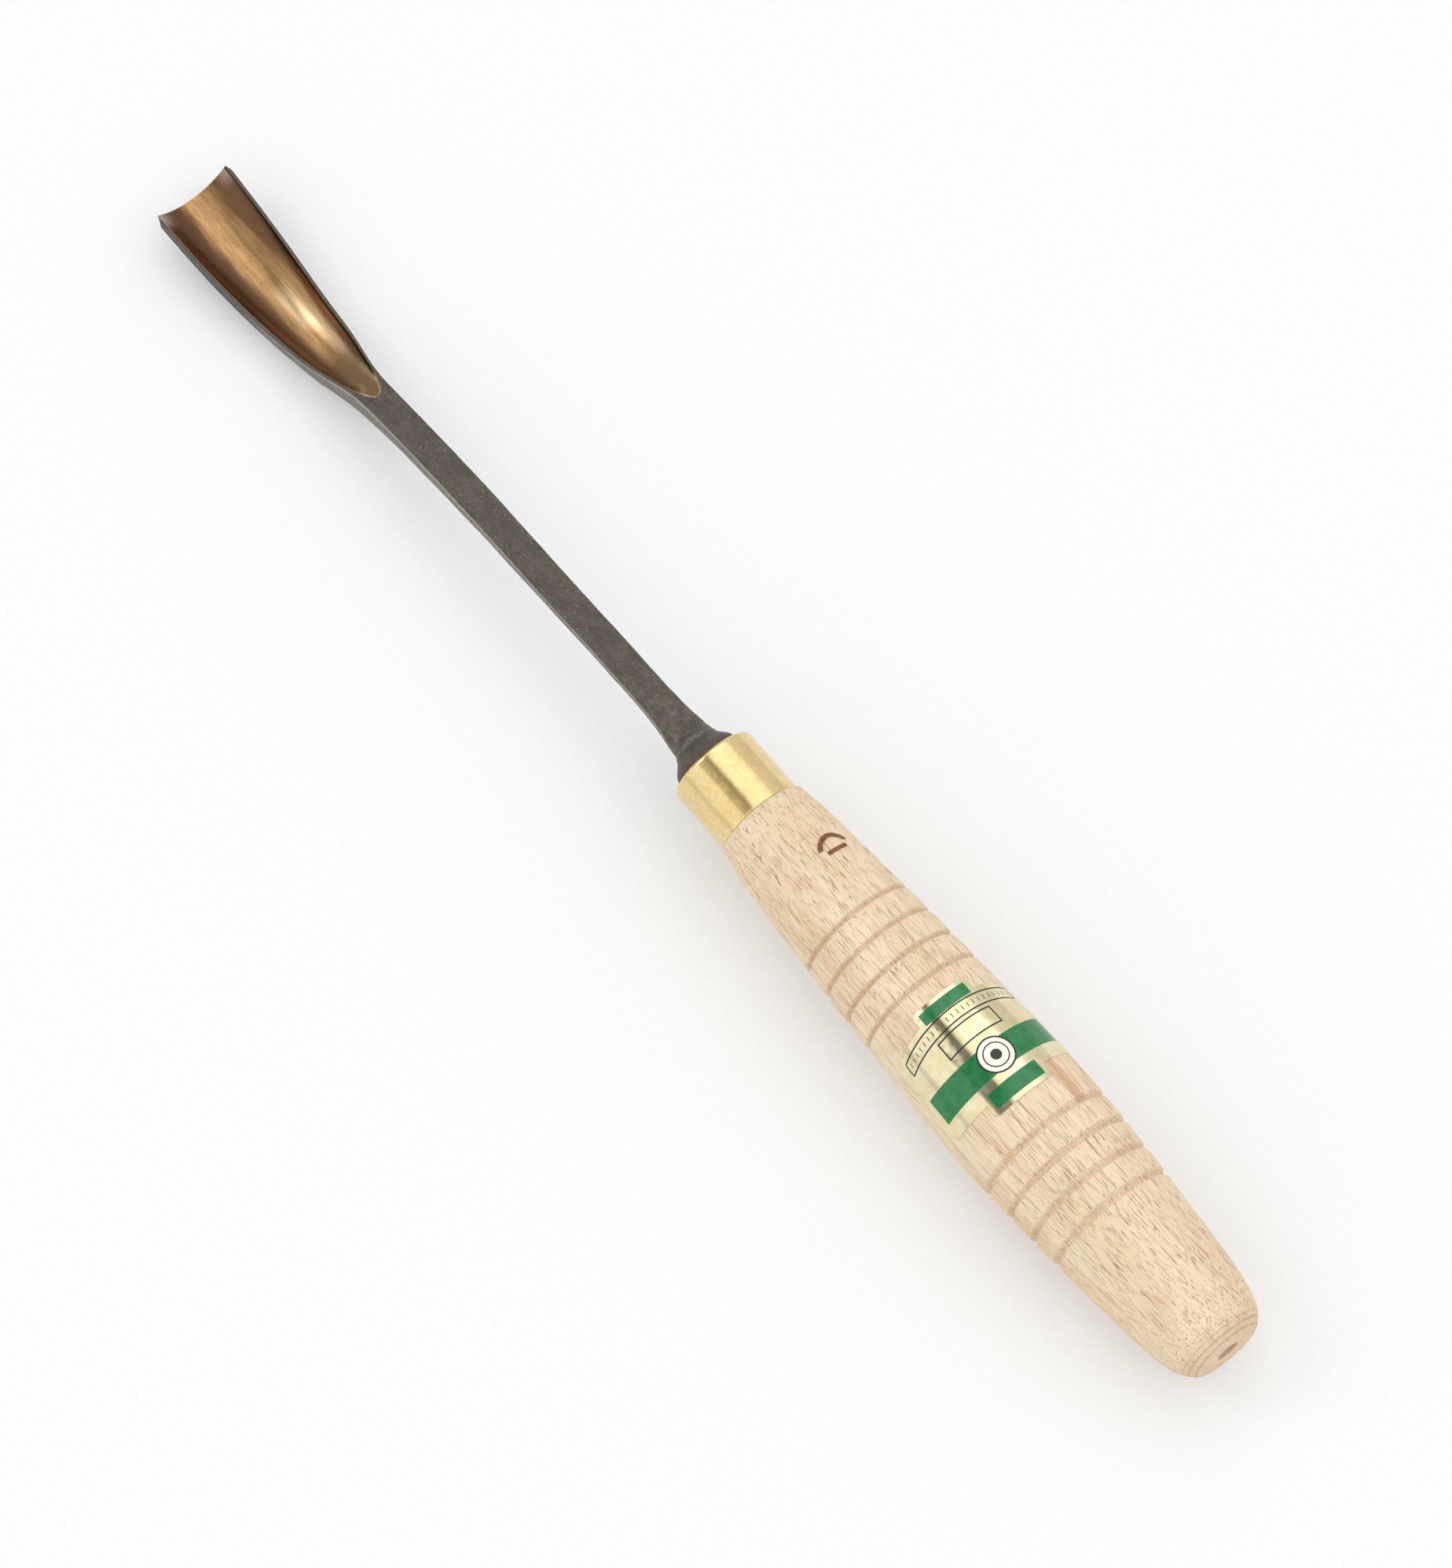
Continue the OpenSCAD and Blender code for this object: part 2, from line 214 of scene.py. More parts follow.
def turned_rings(outline, sides):
    """A ring of points about the axis for each point of the outline."""
    angles = np.arange(sides) * TAU / sides
    return [np.stack([np.full(sides, x), r * np.cos(angles), r * np.sin(angles)], 1) for x, r in outline]


def quads(a, b, sides):
    """Faces between the ring of points that starts at a and the one that starts at b."""
    return [(a + k, b + k, b + (k + 1) % sides, a + (k + 1) % sides) for k in range(sides)]


def lathe(outline, sides):
    """Points and faces of a closed turned solid. The outline starts and ends on the axis."""
    rings = turned_rings(outline[1:-1], sides)
    points = np.concatenate([[[outline[0][0], 0, 0]], *rings, [[outline[-1][0], 0, 0]]])
    base = 1 + (len(rings) - 1) * sides
    faces = []
    for k in range(sides):
        n = (k + 1) % sides
        faces.append((0, 1 + k, 1 + n))
        faces.append((len(points) - 1, base + n, base + k))
    for r in range(len(rings) - 1):
        faces += quads(1 + r * sides, 1 + (r + 1) * sides, sides)
    return points, faces


def lathe_ring(outline, sides):
    """Points and faces of a turned solid whose outline is a closed loop off the axis."""
    faces = []
    for r in range(len(outline)):
        faces += quads(r * sides, (r + 1) % len(outline) * sides, sides)
    return np.concatenate(turned_rings(outline, sides)), faces


# ---------------------------------------------------------------- material helpers
class Shader:
    """A small wrapper that keeps the node code short."""

    def __init__(self, name):
        self.mat = bpy.data.materials.new(name)
        self.mat.use_nodes = True
        self.tree = self.mat.node_tree
        self.bsdf = self.tree.nodes["Principled BSDF"]

    def node(self, kind, **props):
        n = self.tree.nodes.new(kind)
        for key, value in props.items():
            setattr(n, key, value)
        return n

    def put(self, socket, value):
        if isinstance(value, bpy.types.NodeSocket):
            self.tree.links.new(value, socket)
        elif value is not None:
            socket.default_value = value

    def attribute(self, name, output="Vector"):
        return self.node("ShaderNodeAttribute", attribute_name=name).outputs[output]

    def tool(self, scale=(1, 1, 1), turn=(0, 0, 0)):
        """Tool-frame millimetres, turned and then scaled."""
        n = self.node("ShaderNodeMapping", vector_type="POINT")
        self.put(n.inputs["Vector"], self.attribute("tool"))
        n.inputs["Rotation"].default_value = turn
        m = self.node("ShaderNodeVectorMath", operation="MULTIPLY")
        self.put(m.inputs[0], n.outputs[0])
        m.inputs[1].default_value = scale
        return m.outputs[0]

    def noise(self, vector, scale, detail, roughness=0.5):
        n = self.node("ShaderNodeTexNoise")
        self.put(n.inputs["Vector"], vector)
        n.inputs["Scale"].default_value = scale
        n.inputs["Detail"].default_value = detail
        n.inputs["Roughness"].default_value = roughness
        return n.outputs["Fac"]

    def patchy(self, per_mm, detail, roughness=0.5, turn=(0, 0, 0)):
        """Noise with about so many features to a millimetre along each axis of the turned tool."""
        return self.noise(self.tool(per_mm, turn), 1.0, detail, roughness)

    def math(self, operation, a, b=None, clamp=False):
        n = self.node("ShaderNodeMath", operation=operation, use_clamp=clamp)
        for socket, value in zip(n.inputs, (a, b)):
            self.put(socket, value)
        return n.outputs[0]

    def plus(self, a, b):
        return self.math("ADD", a, b)

    def minus(self, a, b):
        return self.math("SUBTRACT", a, b)

    def times(self, a, b):
        return self.math("MULTIPLY", a, b)

    def larger(self, a, b):
        return self.math("MAXIMUM", a, b)

    def apart(self, value, place):
        """Distance of a value from a place, whichever side it is on."""
        return self.math("ABSOLUTE", self.minus(value, place))

    def length(self, a, b):
        """Length of the arrow with these two parts."""
        return self.math("SQRT", self.plus(self.math("POWER", a, 2.0), self.math("POWER", b, 2.0)))

    def steps(self, value, low, high, out_low=0.0, out_high=1.0):
        """Smooth step from low to high."""
        n = self.node("ShaderNodeMapRange", interpolation_type="SMOOTHSTEP")
        for key, v in (("Value", value), ("From Min", low), ("From Max", high),
                       ("To Min", out_low), ("To Max", out_high)):
            self.put(n.inputs[key], v)
        return n.outputs["Result"]

    def mix(self, share, a, b):
        n = self.node("ShaderNodeMix", data_type="RGBA")
        self.put(n.inputs["Factor"], share)
        self.put(n.inputs[6], rgb(a))
        self.put(n.inputs[7], rgb(b))
        return n.outputs[2]

    def tint(self, base, mask, amount, paint):
        """Paint over the base where the mask is, never by more than the amount."""
        return self.mix(self.times(mask, amount), base, paint)

    def split(self, vector):
        n = self.node("ShaderNodeSeparateXYZ")
        self.put(n.inputs[0], vector)
        return n.outputs

    def bump(self, height, distance, strength):
        n = self.node("ShaderNodeBump")
        self.put(n.inputs["Height"], height)
        n.inputs["Distance"].default_value = distance
        n.inputs["Strength"].default_value = strength
        return n.outputs["Normal"]

    def set(self, **sockets):
        """Set inputs of the main shader, with _ for each space in their names."""
        for key, value in sockets.items():
            self.put(self.bsdf.inputs[key.replace("_", " ")], value)
        return self.mat


def rgb(value):
    """sRGB 0-255 triples become linear colours; sockets pass through."""
    if isinstance(value, tuple):
        lin = [((c / 255 + 0.055) / 1.055) ** 2.4 for c in value]
        return (*lin, 1.0)
    return value


# ---------------------------------------------------------------- materials
def beech():
    """Dry sanded beech: growth lines, ray flecks, a mineral streak, browner grooves and ends."""
    s = Shader("beech")
    grain_turn = (math.radians(27), 0, 0)
    dash_turn = (1.0, 0, 0)

    def figure(per_mm, detail, roughness=0.5):
        return s.patchy(per_mm, detail, roughness, grain_turn)

    # growth lines: sheets square to the radial direction, gently wandering along the stick
    wander = figure((0.007, 0.05, 0.05), 2.0)
    _, _, radial = s.split(s.tool(turn=grain_turn))
    year = s.plus(s.times(radial, 0.55), wander)
    phase = s.math("FRACT", year)
    late = s.times(s.steps(phase, 0.80, 0.95), s.steps(phase, 1.0, 0.97))
    late = s.times(late, s.steps(figure((0.05, 0.4, 0.4), 1.0), 0.36, 0.62))

    # ray flecks: thin across, long along the grain and deep towards the pith
    fleck_a = s.steps(figure((0.13, 6.5, 0.7), 1.0, 0.4), 0.64, 0.67)
    fleck_b = s.steps(figure((0.12, 7.0, 0.8), 1.5, 0.5), 0.60, 0.66)
    sparse = s.steps(figure((0.09, 0.5, 0.3), 1.0), 0.42, 0.60)
    fleck = s.times(fleck_a, sparse)
    pores = figure((0.8, 11.0, 11.0), 2.0, 0.6)
    pale = s.steps(figure((0.25, 2.2, 2.2), 2.0), 0.52, 0.72)

    # short dark dashes, pale and rusty patches, and the colour under them all
    tone = figure((0.02, 0.13, 0.13), 3.0)
    dash = s.steps(figure((0.115, 5.4, 5.4), 0.0), 0.71, 0.74)
    short = s.patchy((0.24, 6.4, 6.4), 0.0, turn=dash_turn)
    dash = s.larger(dash, s.times(s.steps(short, 0.73, 0.77), 0.8))
    blotch = s.steps(figure((0.13, 0.55, 0.4), 2.0), 0.52, 0.70)
    rust = s.times(blotch, s.steps(s.patchy((0.6, 4.5, 4.5), 2.0), 0.45, 0.60))
    base = s.mix(s.steps(tone, 0.3, 0.7), (226, 201, 167), (236, 216, 188))
    base = s.tint(base, pale, 0.4, (246, 228, 203))
    base = s.tint(base, s.steps(pores, 0.48, 0.72), 0.22, (212, 178, 142))
    base = s.tint(base, rust, 0.30, (216, 170, 116))
    base = s.tint(base, late, 0.34, (198, 158, 120))
    base = s.tint(base, fleck_b, 0.30, (192, 150, 112))
    base = s.tint(base, fleck, 0.56, (166, 122, 86))
    base = s.tint(base, dash, 0.66, (140, 100, 70))

    # mineral streak beside the label: a ragged lane along the grain
    px, py, pz = s.split(s.tool())
    lane_y = -6.9
    ragged = s.times(s.patchy((0.5, 3.0, 3.0), 2.0), 1.6)
    streak = s.steps(s.plus(s.apart(py, lane_y), ragged), 2.3, 1.2)
    for value, outside, inside in ((px, -85.5, -84.3), (px, -72.0, -74.0), (pz, 4.0, 6.0)):
        streak = s.times(streak, s.steps(value, outside, inside))
    base = s.tint(base, streak, 0.62, (188, 140, 98))

    # grooves, the butt hole and the rounded butt are browner: partly open end grain, partly painted shade
    # in the grooves and the hole
    cut = s.attribute("cut", "Fac")
    torn = s.patchy((3.0, 3.0, 3.0), 3.0, 0.6)
    ends = s.times(cut, s.steps(torn, 0.2, 0.75, 0.55, 1.0))
    base = s.tint(base, ends, 0.28, (192, 154, 120))
    butt = s.attribute("butt", "Fac")
    base = s.tint(base, butt, 0.35, (212, 180, 148))

    # fine turned lines where the rounding starts
    line_pitch = 0.42
    from_butt = s.plus(s.plus(px, s.times(torn, 0.25)), HANDLE_LEN)
    turned = s.steps(s.math("PINGPONG", from_butt, line_pitch), 0.22, 0.36)
    turned = s.times(turned, s.steps(from_butt, 0.25, 0.45))
    turned = s.times(turned, s.steps(from_butt, 2.6, 1.7))
    base = s.tint(base, turned, 0.42, (168, 128, 98))

    # burned mark: a shallow arc over a short bar, with ragged edges and a scorched halo
    angle = s.math("ARCTAN2", py, pz)
    u = s.minus(px, BURN_X)
    v = s.times(s.minus(angle, BURN_ANGLE), BURN_R)
    edge = s.times(s.patchy((2.2, 2.2, 2.2), 2.0), 0.24)
    off_arc = s.apart(s.length(s.plus(u, ARC_BACK), v), ARC_R)
    arc = s.times(s.steps(s.plus(off_arc, edge), 0.68, 0.42), s.steps(u, -1.55, -1.25))
    off_bar = s.larger(s.apart(u, BAR_AT), s.minus(s.math("ABSOLUTE", v), BAR_HALF))
    burn = s.larger(arc, s.steps(s.plus(off_bar, edge), 0.62, 0.40))
    halo = s.times(s.steps(off_arc, 0.95, 0.3), s.steps(u, -1.9, -1.2))
    base = s.tint(base, halo, 0.3, (170, 120, 84))
    char = s.mix(s.steps(torn, 0.35, 0.65), (84, 38, 22), (136, 76, 48))
    base = s.tint(base, burn, 0.93, char)

    relief = s.plus(s.times(fleck, -0.7), s.times(fleck_b, -0.35))
    for mask, height in ((dash, -0.7), (pores, 0.35), (s.times(cut, torn), 1.6), (burn, -1.6)):
        relief = s.plus(relief, s.times(mask, height))
    gloss = s.steps(pores, 0.3, 0.7, 0.52, 0.68)
    s.set(Base_Color=base, Roughness=gloss, Specular_IOR_Level=0.34)
    return s.set(Normal=s.bump(relief, 0.00007, 0.8))


def brass():
    """Satin brass tube with a faint mottle and fine lines around it."""
    s = Shader("ferrule_brass")
    mottle = s.noise(s.tool((1, 1, 1)), 1.5, 4.0, 0.62)
    cloud = s.patchy((0.35, 0.35, 0.35), 2.0)
    lines = s.patchy((14.0, 0.5, 0.5), 2.0)
    color = s.mix(s.steps(mottle, 0.35, 0.68), (222, 190, 112), (235, 208, 136))
    color = s.tint(color, s.steps(cloud, 0.4, 0.7), 0.3, (212, 176, 98))
    gloss = s.steps(mottle, 0.3, 0.7, 0.22, 0.15)
    height = s.plus(s.times(mottle, 0.9), s.times(lines, 0.25))
    s.set(Metallic=1.0, Coat_Weight=1.0, Coat_IOR=2.1, Coat_Roughness=0.13)
    return s.set(Base_Color=color, Roughness=gloss, Normal=s.bump(height, 0.00003, 0.55))


def forge_scale():
    """Dark oxide left by the forge, with pale specks, small pits, worn arrises, and painted highlights on
    the bolster's ridge and along the flute's edge.
    """
    s = Shader("forged_steel")
    broad = s.patchy((0.35, 0.6, 0.6), 3.0, 0.6)
    grain = s.patchy((2.4, 3.2, 3.2), 5.0, 0.7)
    speck = s.patchy((2.6, 4.2, 4.2), 1.0)
    patch = s.patchy((0.16, 0.4, 0.4), 2.0)
    color = s.mix(s.steps(broad, 0.3, 0.7), (74, 68, 60), (90, 83, 74))
    color = s.tint(color, s.steps(grain, 0.45, 0.75), 0.38, (112, 103, 92))
    color = s.tint(color, s.steps(grain, 0.48, 0.3), 0.36, (50, 46, 41))
    x, _, _ = s.split(s.tool())
    # smoother and greener in the neck of the bolster, rusty beside the ferrule, and a pale band on its
    # ridge that is partly a worn arris and partly a painted highlight
    neck = s.times(s.steps(x, 2.2, 3.2), s.steps(x, 4.4, 3.8))
    color = s.tint(color, neck, 0.45, (74, 73, 63))
    rusty = s.times(s.steps(s.plus(x, s.times(grain, 2.6)), 3.2, 1.3), 0.5)
    color = s.mix(rusty, color, (96, 66, 50))
    ridge_wear_and_highlight = s.times(s.steps(s.apart(x, 4.25), 0.55, 0.1), s.steps(grain, 0.34, 0.60))
    color = s.tint(color, ridge_wear_and_highlight, 0.55, (134, 128, 112))
    # paler blots where the bolster runs out into the shank
    lumpy = s.times(s.steps(x, 4.4, 5.6), s.steps(x, 26.0, 8.0))
    blot = s.steps(s.patchy((0.8, 1.1, 1.1), 3.0, 0.6), 0.42, 0.64)
    color = s.tint(color, s.times(blot, lumpy), 0.5, (118, 110, 96))
    # the sides are paler and greyer along the shank, and dark along the pod
    flank = s.attribute("flank", "Fac")
    color = s.tint(color, s.times(flank, s.steps(x, 108, 119)), 0.85, (50, 47, 42))
    flank = s.times(flank, s.steps(x, 108, 119, 1.0, 0.08))
    side = s.mix(s.steps(grain, 0.35, 0.65), (104, 99, 94), (146, 141, 136))
    side = s.tint(side, s.steps(patch, 0.52, 0.66), 0.5, (86, 80, 74))
    color = s.tint(color, flank, 0.8, side)
    spots = s.times(s.steps(speck, 0.66, 0.73), s.steps(patch, 0.38, 0.58))
    color = s.tint(color, spots, 0.75, (158, 148, 128))
    # a fine painted highlight along the flute's edge, and worn corners
    rim = s.attribute("rim", "Fac")
    jag = s.times(s.patchy((1.6, 3.0, 3.0), 2.0), 0.14)
    edge_highlight_line = s.steps(s.plus(s.math("ABSOLUTE", rim), jag), 0.155, 0.075)
    color = s.mix(s.times(edge_highlight_line, s.steps(x, 89.5, 92.5, 0.9, 0.35)), color, (206, 186, 150))
    worn = s.steps(s.plus(s.attribute("corner", "Fac"), s.times(grain, 0.5)), 0.75, 1.15)
    color = s.mix(s.times(worn, s.steps(x, 90, 108, 0.6, 0.2)), color, (176, 168, 156))
    height = s.plus(s.times(broad, 1.4), s.times(grain, 0.6))
    s.set(Metallic=0.35, Specular_IOR_Level=0.45, Normal=s.bump(height, 0.00012, 0.65))
    return s.set(Base_Color=color, Roughness=s.steps(grain, 0.3, 0.7, 0.62, 0.42))


def flute_steel():
    """Polished steel under amber lacquer, with polishing lines: brown at the heel, walls darker partly
    from the lacquer's tone and partly from painted shade, and painted highlights.
    """
    s = Shader("flute_steel")
    x, y, _ = s.split(s.tool())
    fine = s.patchy((0.07, 8.0, 8.0), 3.0, 0.6)
    wide = s.patchy((0.03, 1.6, 1.6), 2.0)
    cloud = s.patchy((0.12, 0.35, 0.35), 2.0)
    color = s.mix(s.steps(wide, 0.34, 0.68), (164, 127, 84), (188, 147, 98))
    color = s.tint(color, s.steps(fine, 0.46, 0.66), 0.5, (136, 96, 58))
    # both walls are darker and browner: partly the lacquer's tone, partly painted shade for the darker
    # reflections they show
    wavy = s.times(s.minus(s.patchy((0.06, 1.2, 1.2), 3.0), 0.5), 2.4)
    mid = s.steps(x, 108, 130, 1.9, 0.7)
    off = s.plus(s.math("ABSOLUTE", s.plus(y, mid)), wavy)
    wall = s.times(s.steps(off, 1.7, 3.9), s.larger(s.steps(y, -1.0, 0.5), s.steps(x, 112, 124)))
    color = s.tint(color, wall, 0.94, (98, 69, 47))
    heel = s.steps(s.plus(x, s.times(cloud, 8.0)), 111.0, 100.0)
    color = s.tint(color, heel, 0.8, (158, 125, 88))
    # a painted highlight on one wall by the heel
    wall_highlight = s.times(s.steps(y, -0.9, -3.0), s.steps(x, 116, 104))
    color = s.tint(color, wall_highlight, 0.6, (218, 190, 154))
    # a painted highlight: a paler patch ahead of the heel
    centre_x, centre_y = 112.3, -1.6
    patch = s.times(s.steps(s.plus(s.apart(x, centre_x), wavy), 6.5, 2.5),
                    s.steps(s.plus(s.apart(y, centre_y), wavy), 1.9, 0.5))
    color = s.tint(color, patch, 0.62, (232, 206, 166))
    # pale along the rim, most at the heel: partly where the polishing wheel ran out, partly a painted
    # highlight on the edge; and bare towards the corners of the edge
    rim = s.attribute("rim", "Fac")
    jag = s.times(s.patchy((1.6, 3.0, 3.0), 2.0), 0.22)
    rim_polish_and_highlight = s.steps(s.plus(s.math("ABSOLUTE", rim), jag), 0.46, 0.18)
    color = s.mix(s.times(rim_polish_and_highlight, s.steps(x, 112, 92, 0.3, 0.85)), color, (206, 178, 136))
    bare = s.times(s.steps(x, BLADE_LEN - 3.6, BLADE_LEN - 0.6), s.steps(s.math("ABSOLUTE", y), 4.4, 6.9))
    color = s.tint(color, bare, 0.5, (190, 174, 156))
    # forge scale laps over the edge on one side
    lap = s.times(s.steps(s.plus(rim, jag), 0.52, 0.34), s.steps(y, -1.2, -2.2))
    lap = s.times(lap, s.steps(x, 90.5, 93.0))
    color = s.tint(color, lap, 0.95, (52, 48, 42))
    s.set(Metallic=1.0, Coat_Weight=0.25, Coat_IOR=1.45, Coat_Roughness=0.16)
    normal = s.bump(s.plus(fine, s.times(wide, 1.6)), 0.00003, 0.4)
    return s.set(Base_Color=color, Roughness=s.steps(fine, 0.3, 0.7, 0.2, 0.3), Normal=normal)


def edge_steel():
    """The bevel as it comes off the fine wheel."""
    s = Shader("edge_steel")
    lines = s.patchy((9.0, 0.8, 0.8), 3.0, 0.6)
    color = s.mix(s.steps(lines, 0.3, 0.7), (168, 163, 156), (198, 194, 188))
    return s.set(Base_Color=color, Metallic=1.0, Roughness=s.steps(lines, 0.3, 0.7, 0.22, 0.34),
                 Normal=s.bump(lines, 0.00002, 0.4))


def foil():
    """Pale gold foil with plain green bands and thin black rules. It carries no words."""
    s = Shader("foil_label")
    x, y, z = s.split(s.tool())
    angle = s.math("ARCTAN2", y, z)
    v = s.times(angle, LABEL_PRINT_R)
    side = s.math("ABSOLUTE", v)

    def band(value, low, high, soft=0.05):
        return s.times(s.steps(value, low - soft, low + soft), s.steps(value, high + soft, high - soft))

    def across(half):
        return band(side, -1, half)

    def rule(value, at, half):
        return s.steps(s.apart(value, at), half + 0.05, half - 0.03)

    # green: one broad band over the panel and a block on each tab
    green = s.times(band(x, -73.6, -68.6), across(13.6))
    for rear, front in ((-59.9, -57.7), (-78.1, -75.2)):
        green = s.larger(green, s.times(band(x, rear, front), across(4.9)))

    # a medallion of circles
    ring_r = s.length(s.plus(x, 70.9), s.plus(v, 0.6))
    disc = s.steps(ring_r, 3.15, 3.05)
    rules = s.larger(rule(ring_r, 3.1, 0.15), rule(ring_r, 2.1, 0.11))

    # thin rules that follow the bowed front of the panel, with ticks between them and a frame behind
    sag = s.times(s.math("POWER", s.math("DIVIDE", angle, PANEL_HALF), 2.0), BOW_DEEP)
    bowed = s.plus(x, sag)
    rear_rule, front_rule, rule_end = -62.4, -60.1, 12.6
    for at in (front_rule, rear_rule):
        rules = s.larger(rules, s.times(rule(bowed, at, 0.13), across(rule_end)))
    ends = s.times(rule(side, rule_end, 0.13), band(bowed, rear_rule, front_rule))

    def box(inset):
        return s.times(band(bowed, -66.6 + inset, -63.1 - inset), across(5.6 - inset))

    frame_line = s.math("SUBTRACT", box(0), box(0.28), clamp=True)
    ink = s.larger(s.larger(rules, ends), s.larger(frame_line, s.steps(ring_r, 1.0, 0.9)))
    ticks = s.times(s.steps(s.math("PINGPONG", v, 0.55), 0.42, 0.5), band(bowed, -61.7, -60.8, 0.1))
    ink = s.larger(ink, s.times(s.times(ticks, across(11.6)), 0.9))
    sheet = s.patchy((0.6, 0.6, 0.6), 3.0)
    gold = s.mix(s.steps(sheet, 0.35, 0.65), (224, 211, 164), (234, 223, 188))
    green_ink = s.mix(s.steps(sheet, 0.3, 0.7), (32, 112, 62), (46, 128, 76))
    color = s.mix(green, gold, green_ink)
    color = s.mix(disc, color, (240, 237, 224))
    color = s.mix(ink, color, (36, 38, 32))
    printed = s.larger(s.larger(green, disc), ink)
    metal = s.minus(0.96, s.times(printed, 0.86))
    wrinkle = s.patchy((0.25, 0.25, 0.25), 2.0)
    return s.set(Base_Color=color, Metallic=metal, Roughness=s.steps(sheet, 0.3, 0.7, 0.06, 0.10),
                 Normal=s.bump(wrinkle, 0.0003, 0.12))


FLOOR_GLOW = 0.23


def floor_paper():
    """Pale seamless paper with a faint painted glow, which keeps the shadows soft."""
    s = Shader("floor_paper")
    pulp = s.noise(s.node("ShaderNodeTexCoord").outputs["Object"], 900.0, 2.0)
    color = s.mix(s.steps(pulp, 0.2, 0.8), (208, 209, 209), (211, 212, 212))
    # painted light: the paper itself glows faintly
    s.set(Emission_Color=(1.0, 1.0, 1.0, 1.0), Emission_Strength=FLOOR_GLOW)
    return s.set(Base_Color=color, Roughness=0.9, Specular_IOR_Level=0.1)


# ---------------------------------------------------------------- handle
HANDLE_SIDES = 216
LEAST_SINK = 0.002


def handle_r(x):
    """Handle radius before the grooves."""
    x = np.asarray(x, float)
    u = (-HANDLE_LEN + BUTT_ROUND - x) / BUTT_ROUND
    rounded = BUTT_FLAT_R + (BELLY_R * HANDLE_LINE[0][1] - BUTT_FLAT_R) * arch(u, 1.5)
    return np.where(x < -HANDLE_LEN + BUTT_ROUND, rounded, BELLY_R * curve(HANDLE_LINE, x))


def grooves():
    """Place and width of each groove, from the butt forwards."""
    rear = [(REAR_GROOVE - i * GROOVE_PITCH, 1.75 if i == 3 else 1.5) for i in (3, 2, 1, 0)]
    front = [(FRONT_GROOVE - i * GROOVE_PITCH, 1.15) for i in (3, 2, 1, 0)]
    return rear + front


def groove_cut(x):
    """Depth of the grooves at x: a V with a softened bottom and softened shoulders."""
    total = np.zeros_like(x)
    for at, width in grooves():
        u = np.abs(x - at) / (width / 2)
        v = 1 - np.sqrt(u * u + 0.01)
        total += GROOVE_DEPTH * np.log1p(np.exp(GROOVE_HARD * v)) / GROOVE_HARD
    return total


def band_crown(x):
    """The bands between grooves are slightly rounded over, the rear ones less."""
    total = np.zeros_like(x)
    for group, height in ((grooves()[:4], 0.03), (grooves()[4:], 0.10)):
        for (a, _), (b, _) in zip(group[:-1], group[1:]):
            u = np.clip((x - a) / (b - a), 0, 1)
            total += height * (4 * u * (1 - u)) ** 2
    return total


def build_handle():
    """The turned handle: butt hole, rounded butt, grip with its grooves, tenon and stepped socket."""
    coarse = np.arange(-HANDLE_LEN + BUTT_ROUND, -15.0, 0.6)
    fine = np.concatenate([np.arange(at - 1.5, at + 1.5, 0.1) for at, _ in grooves()])
    far = [x for x in coarse if min(abs(x - at) for at, _ in grooves()) > 1.5]
    along = np.sort(np.concatenate([far, fine]))
    swell = handle_r(along) + band_crown(along) - groove_cut(along)
    butt_x = -HANDLE_LEN + BUTT_ROUND * (1 - np.cos(np.linspace(0, math.pi / 2, 26)))[:-1]
    outline = [(-HANDLE_LEN + HOLE_DEPTH, 0.0)]
    outline += [(-HANDLE_LEN + HOLE_DEPTH, r) for r in (0.7, 1.4, 1.9)]
    outline += [(-HANDLE_LEN + d, HOLE_R) for d in (HOLE_DEPTH, 6.0, 4.0, 2.0, 1.0, 0.45)]
    outline += [(-HANDLE_LEN + 0.12, HOLE_R + 0.06), (-HANDLE_LEN, HOLE_R + 0.2)]
    outline += [(-HANDLE_LEN, r) for r in np.linspace(HOLE_R + 0.5, BUTT_FLAT_R - 0.12, 10)]
    outline += list(zip(butt_x, handle_r(butt_x)))
    outline += list(zip(along, swell))
    shoulder_x = np.array([-14.8, -14.4, -14.0, -13.6, -13.3])
    outline += list(zip(shoulder_x, handle_r(shoulder_x)))
    outline += [(-13.05, 8.36), (-12.86, 8.22), (-12.74, 8.08), (-FERRULE_LEN, 7.9)]
    outline += [(-FERRULE_LEN, TENON_R), (-8.0, TENON_R), (-3.0, TENON_R), (0.0, TENON_R)]
    outline += [(0.0, 5.6)]
    start = 0.0
    for depth, r in SOCKET:
        outline += [(start, r), (-depth, r)]
        start = -depth
    outline += [(start, 0.0)]
    points, faces = lathe(outline, HANDLE_SIDES)
    radius = np.hypot(points[:, 1], points[:, 2])
    cut = groove_cut(points[:, 0]) / GROOVE_DEPTH
    cut = np.where(points[:, 0] > -15, 0, np.clip(cut * 1.15, 0, 1))
    # the butt hole is marked like a deep groove, so the beech paints it browner: painted shade in the hole
    bore = (radius < HOLE_R + 0.1) & (points[:, 0] < -HANDLE_LEN + HOLE_DEPTH + 1)
    cut = np.where(bore, 0.9, cut)
    butt = np.clip((-HANDLE_LEN + 4.0 - points[:, 0]) / 3.0, 0, 1)
    points[:, 0] = np.maximum(points[:, 0], -HANDLE_LEN + LEAST_SINK)
    # torn fibres in the grooves, and the slight unevenness of sanding
    skin = (radius > 6.5) & (points[:, 0] < -13.4) & (points[:, 0] > -HANDLE_LEN + 0.2)
    chosen = np.where(skin)[0]
    waves = rough(points[chosen], 9.0, 2)
    tears = rough(points[chosen], 0.9, 2, 7.0)
    push = np.minimum(0.035 * waves - 0.03 + 0.075 * tears * cut[chosen], -LEAST_SINK)
    points[chosen, 1:] *= (1 + push / radius[chosen])[:, None]
    return make_piece("handle", points, faces, [beech()], sharp=50, marks={"cut": cut, "butt": butt})


